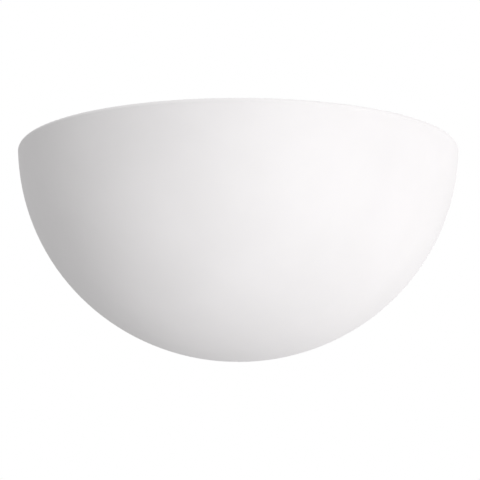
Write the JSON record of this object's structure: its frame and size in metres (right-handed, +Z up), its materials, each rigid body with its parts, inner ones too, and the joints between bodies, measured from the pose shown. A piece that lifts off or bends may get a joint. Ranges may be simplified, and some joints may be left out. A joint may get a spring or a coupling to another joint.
{
  "type": "uplighter wall sconce",
  "caption": "Quarter-sphere ceramic uplighter wall sconce: open-topped bowl shade hung on a steel wall bracket with a lampholder and lamp lying along the wall.",
  "frame": {"origin": "on the wall plane, midway between the two wall fixing slots", "axes": "+X along the wall, +Y into the wall, +Z up; the shade stands out of the wall along -Y"},
  "size_m": [0.3098, 0.1549, 0.153],
  "materials": {
    "ceramic": "matte",
    "zinc_plated_steel": "satin",
    "bright_steel": "satin",
    "black_rubber": "matte",
    "porcelain": "gloss",
    "brass": "satin",
    "white_nylon": "satin",
    "tinned_copper": "satin",
    "brown_sleeve": "satin",
    "blue_sleeve": "satin",
    "green_yellow_sleeve": "satin",
    "nickel_plate": "satin",
    "black_plastic": "gloss",
    "white_plastic": "satin",
    "opal_plastic": "matte",
    "board_aluminium": "satin",
    "led_phosphor": "satin",
    "board_green": "satin"
  },
  "bodies": {
    "fixture": {"wall_bracket": "zinc_plated_steel", "hanging_studs": "bright_steel", "cable_grommet": "black_rubber", "lamp_arm": "zinc_plated_steel", "arm_screws": "bright_steel", "arm_nuts": "bright_steel", "lampholder_base": "porcelain", "lampholder_skirt": "porcelain", "threaded_sleeve": "brass", "lampholder_terminals": "brass", "live_link": "brass", "neutral_link": "brass", "lampholder_clamp_screws": "bright_steel", "lampholder_fixing_screws": "bright_steel", "contact_spring": "bright_steel", "terminal_block": "white_nylon", "terminal_inserts": "brass", "terminal_clamp_screws": "bright_steel", "terminal_block_screws": "bright_steel", "terminal_block_nuts": "bright_steel", "earth_screw": "bright_steel", "earth_nut": "bright_steel", "earth_star_washer": "bright_steel", "earth_ring_terminal": "tinned_copper", "live_wire": "brown_sleeve", "neutral_wire": "blue_sleeve", "earth_wire": "green_yellow_sleeve"},
    "shade_body": {"shade": "ceramic"},
    "contact": {"centre_contact": "brass"},
    "lamp_tip": {"lamp_cap_contact": "nickel_plate", "lamp_cap_insulator": "black_plastic"},
    "lamp": {"lamp_cap": "nickel_plate", "lamp_housing": "white_plastic", "lamp_diffuser": "opal_plastic", "lamp_led_board": "board_aluminium", "lamp_leds": "led_phosphor", "lamp_driver_board": "board_green", "lamp_driver_parts": "black_plastic"}
  },
  "joints": [
    {"name": "shade_lift", "type": "slide", "parent": "fixture", "child": "shade_body", "axis": [0, 0, 1], "range_m": [0, 0.012]},
    {"name": "contact_press", "type": "slide", "parent": "fixture", "child": "contact", "axis": [-1, 0, 0], "range_m": [0, 0.001], "stiffness_N_per_m": 800, "deforming": ["contact_spring"]},
    {"name": "lamp_travel", "type": "slide", "parent": "fixture", "child": "lamp_tip", "axis": [1, 0, 0], "range_m": [0, 0.01562]},
    {"name": "lamp_turn", "type": "hinge", "parent": "lamp_tip", "child": "lamp", "pos_m": [0, -0.065, -0.014], "axis": [1, 0, 0], "range_deg": [0, 1550]}
  ],
  "couplings": [
    {"joint": "lamp_travel", "follows": "lamp_turn", "m_per_rad": 0.00057757}
  ]
}
